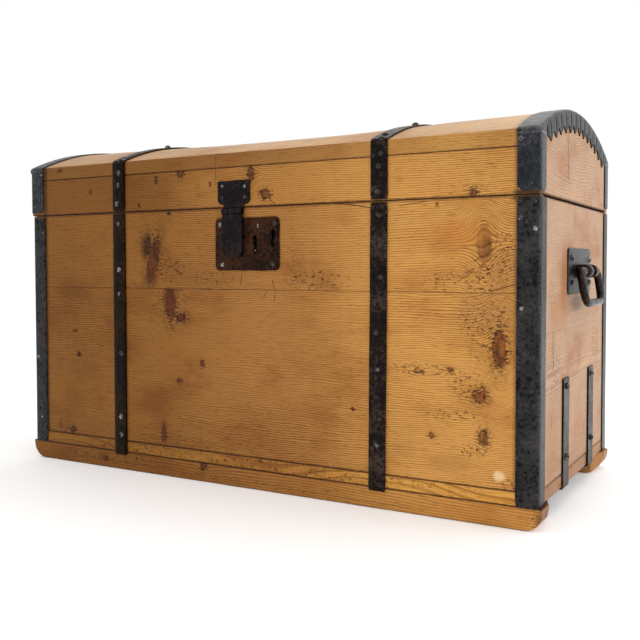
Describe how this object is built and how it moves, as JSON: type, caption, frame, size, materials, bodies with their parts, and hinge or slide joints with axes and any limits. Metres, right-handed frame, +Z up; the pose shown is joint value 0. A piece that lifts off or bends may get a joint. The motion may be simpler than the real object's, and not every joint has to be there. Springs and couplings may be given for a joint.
{
  "type": "dome top chest",
  "caption": "Long pine chest with a curved lid, iron straps and corner irons, a front hasp over a mortised lock, end drop handles and rear strap hinges.",
  "frame": {"origin": "centre of the footprint on the plane of the runners' undersides", "axes": "+X to the right along the length as seen from the front, front with the hasp faces -Y, +Z up"},
  "size_m": [1.0062, 0.4646, 0.5992],
  "materials": {
    "pine": "waxed old pine",
    "strap_iron": "blackened, pitted",
    "forged_iron": "forged, worn",
    "rusty_iron": "rusted brown",
    "nail_iron": "hammered heads",
    "lock_steel": "dull steel"
  },
  "bodies": {
    "case": {"bottom_board_1": "pine", "bottom_board_2": "pine", "bottom_board_3": "pine", "case_nails": "nail_iron", "case_strap_left": "strap_iron", "case_strap_right": "strap_iron", "corner_iron_front_left": "strap_iron", "corner_iron_front_right": "strap_iron", "corner_iron_rear_left": "strap_iron", "corner_iron_rear_right": "strap_iron", "end_board_left_lower": "pine", "end_board_left_upper": "pine", "end_board_right_lower": "pine", "end_board_right_upper": "pine", "end_straps_left": "strap_iron", "end_straps_right": "strap_iron", "front_board_lower": "pine", "front_board_upper": "pine", "handle_lugs": "forged_iron", "handle_plate_left": "strap_iron", "handle_plate_right": "strap_iron", "hinge_leaf_left": "strap_iron", "hinge_leaf_right": "strap_iron", "hinge_pins": "strap_iron", "lock_case": "lock_steel", "lock_key_pin": "lock_steel", "lock_plate": "rusty_iron", "lock_spring": "lock_steel", "plate_nails": "nail_iron", "rear_board_lower": "pine", "rear_board_upper": "pine", "runner_front": "pine", "runner_rear": "pine"},
    "lid": {"dome_band_left": "strap_iron", "dome_band_right": "strap_iron", "dome_plank_1": "pine", "dome_plank_2": "pine", "dome_plank_3": "pine", "dome_plank_4": "pine", "hasp_pin": "strap_iron", "hasp_plate": "strap_iron", "hinge_strap_left": "strap_iron", "hinge_strap_right": "strap_iron", "lid_corner_front_left": "strap_iron", "lid_corner_front_right": "strap_iron", "lid_corner_rear_left": "strap_iron", "lid_corner_rear_right": "strap_iron", "lid_end_left": "pine", "lid_end_right": "pine", "lid_front_rail": "pine", "lid_nails": "nail_iron", "lid_rear_rail": "pine", "lid_strap_left": "strap_iron", "lid_strap_right": "strap_iron"},
    "hasp": {"hasp_staple": "strap_iron", "hasp_strap": "strap_iron"},
    "bail_left": {"bail_left": "forged_iron"},
    "bail_right": {"bail_right": "forged_iron"},
    "lock_bolt": {"lock_bolt": "lock_steel"}
  },
  "joints": [
    {"name": "lid_hinge", "type": "hinge", "parent": "case", "child": "lid", "pos_m": [0, 0.2273, 0.4514], "axis": [-1, 0, 0], "range_deg": [0, 100]},
    {"name": "hasp_hinge", "type": "hinge", "parent": "lid", "child": "hasp", "pos_m": [-0.017, -0.2263, 0.445], "axis": [-1, 0, 0], "range_deg": [0, 155]},
    {"name": "bail_right_swing", "type": "hinge", "parent": "case", "child": "bail_right", "pos_m": [0.4895, 0.004, 0.349], "axis": [0, -1, 0], "range_deg": [0, 150]},
    {"name": "bail_left_swing", "type": "hinge", "parent": "case", "child": "bail_left", "pos_m": [-0.4895, 0.004, 0.349], "axis": [0, 1, 0], "range_deg": [0, 150]},
    {"name": "lock_bolt_throw", "type": "slide", "parent": "case", "child": "lock_bolt", "axis": [-1, 0, 0], "range_m": [0, 0.009]}
  ]
}
